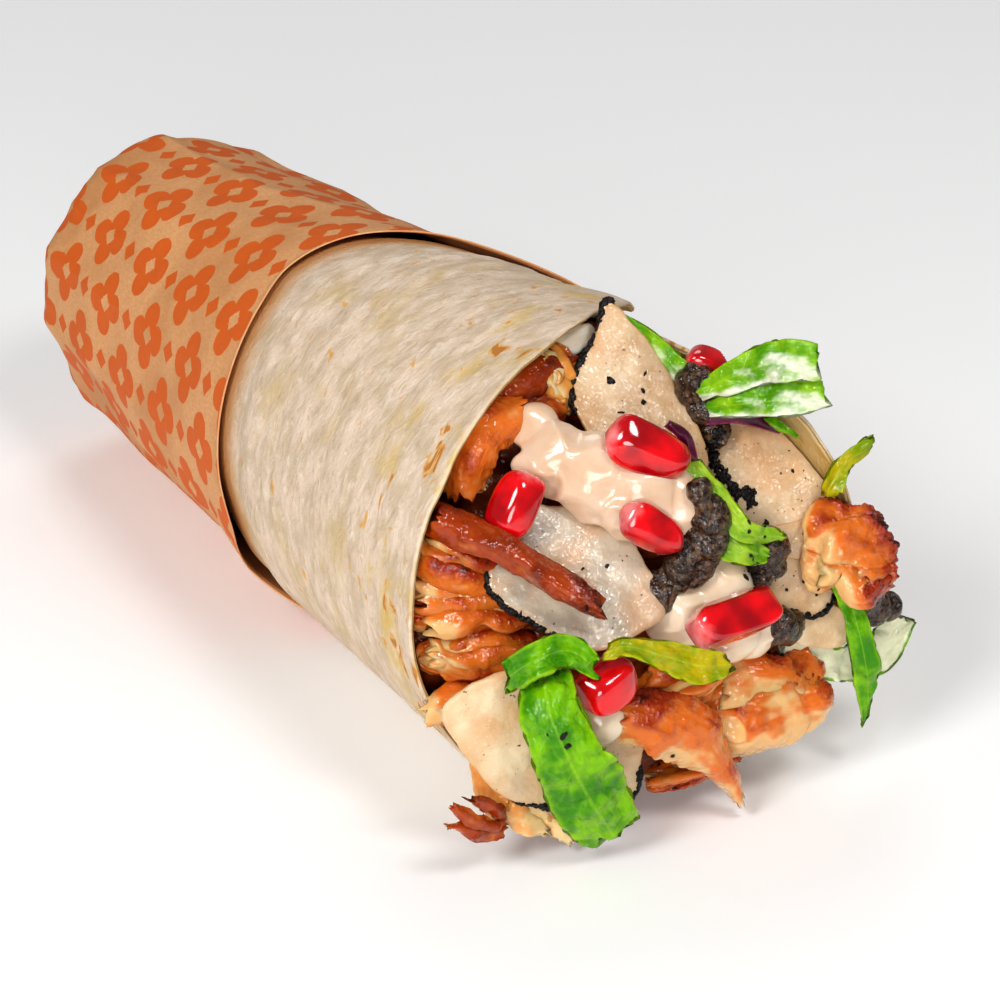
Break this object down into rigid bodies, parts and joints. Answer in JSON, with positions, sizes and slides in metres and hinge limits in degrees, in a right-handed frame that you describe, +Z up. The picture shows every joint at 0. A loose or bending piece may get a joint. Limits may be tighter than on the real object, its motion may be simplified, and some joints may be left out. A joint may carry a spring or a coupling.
{
  "type": "piadina wrap",
  "caption": "Filled flatbread rolled into a cone and held in a paper sleeve, lying on its side; chicken, truffle slices, leaves, seeds and sauce fill the open mouth.",
  "frame": {"origin": "centre of the flat strip along the underside of the paper sleeve, below the axis of the roll", "axes": "+Z up as it lies; +Y along the roll towards the folded tail of the sleeve; the open mouth faces -Y; +X to the right as seen from the mouth"},
  "size_m": [0.0786, 0.1817, 0.0694],
  "materials": {
    "bread": "matt baked flatbread, cream with toasted spots",
    "paper": "matt tan kraft paper with a burnt-orange print",
    "filling": "moist chopped chicken filling",
    "chicken": "glistening roast chicken, orange-brown",
    "chicken_dark": "charred chicken edge, dark red-brown",
    "chicken_pale": "pale fibrous chicken",
    "truffle": "pale beige slice with a thin black warty rind",
    "sauce": "smooth glossy peach-cream sauce",
    "seed": "juicy translucent deep red",
    "paste": "dark grey-brown granular glossy paste",
    "leaf": "fresh green leaf with a soft shine",
    "cabbage": "dark purple leaf shred",
    "onion": "translucent white"
  },
  "bodies": {
    "root": {"flatbread": "bread", "paper_sleeve": "paper", "seed_lower": "seed", "seed_front": "seed", "seed_middle": "seed", "seed_top": "seed", "seed_left": "seed", "seed_back": "seed", "leaf_hanging": "leaf", "leaf_fold": "leaf", "leaf_cross": "leaf", "leaf_middle": "leaf", "leaf_middle_low": "leaf", "leaf_thin": "leaf", "leaf_rib": "leaf", "leaf_curl": "leaf", "leaf_top_upper": "leaf", "leaf_top_lower": "leaf", "leaf_edge": "leaf", "leaf_back": "leaf", "leaf_tip": "leaf", "cabbage_right": "cabbage", "cabbage_left": "cabbage", "onion": "onion", "chicken_strip": "chicken_dark", "chicken_tail": "chicken", "chicken_front": "chicken", "chicken_right": "chicken", "chicken_middle": "chicken", "slice_pale": "truffle", "slice_front": "truffle", "slice_middle": "truffle", "slice_right": "truffle", "slice_top": "truffle", "slice_low": "truffle", "paste_middle": "paste", "paste_top": "paste", "paste_right": "paste", "paste_low": "paste", "paste_edge": "paste", "sauce_top": "sauce", "sauce_front": "sauce", "sauce_low": "sauce", "chicken_under": "chicken_dark", "chicken_crisp": "chicken_dark", "chicken_shred_low": "chicken_pale", "chicken_shred_left": "chicken_pale", "chicken_curl": "chicken", "chicken_left_upper": "chicken", "chicken_left_middle": "chicken", "chicken_left_lower": "chicken", "chicken_left_bottom": "chicken_pale", "chicken_corner": "chicken_dark", "chicken_back": "chicken_pale", "filling_core": "filling"}
  },
  "joints": []
}
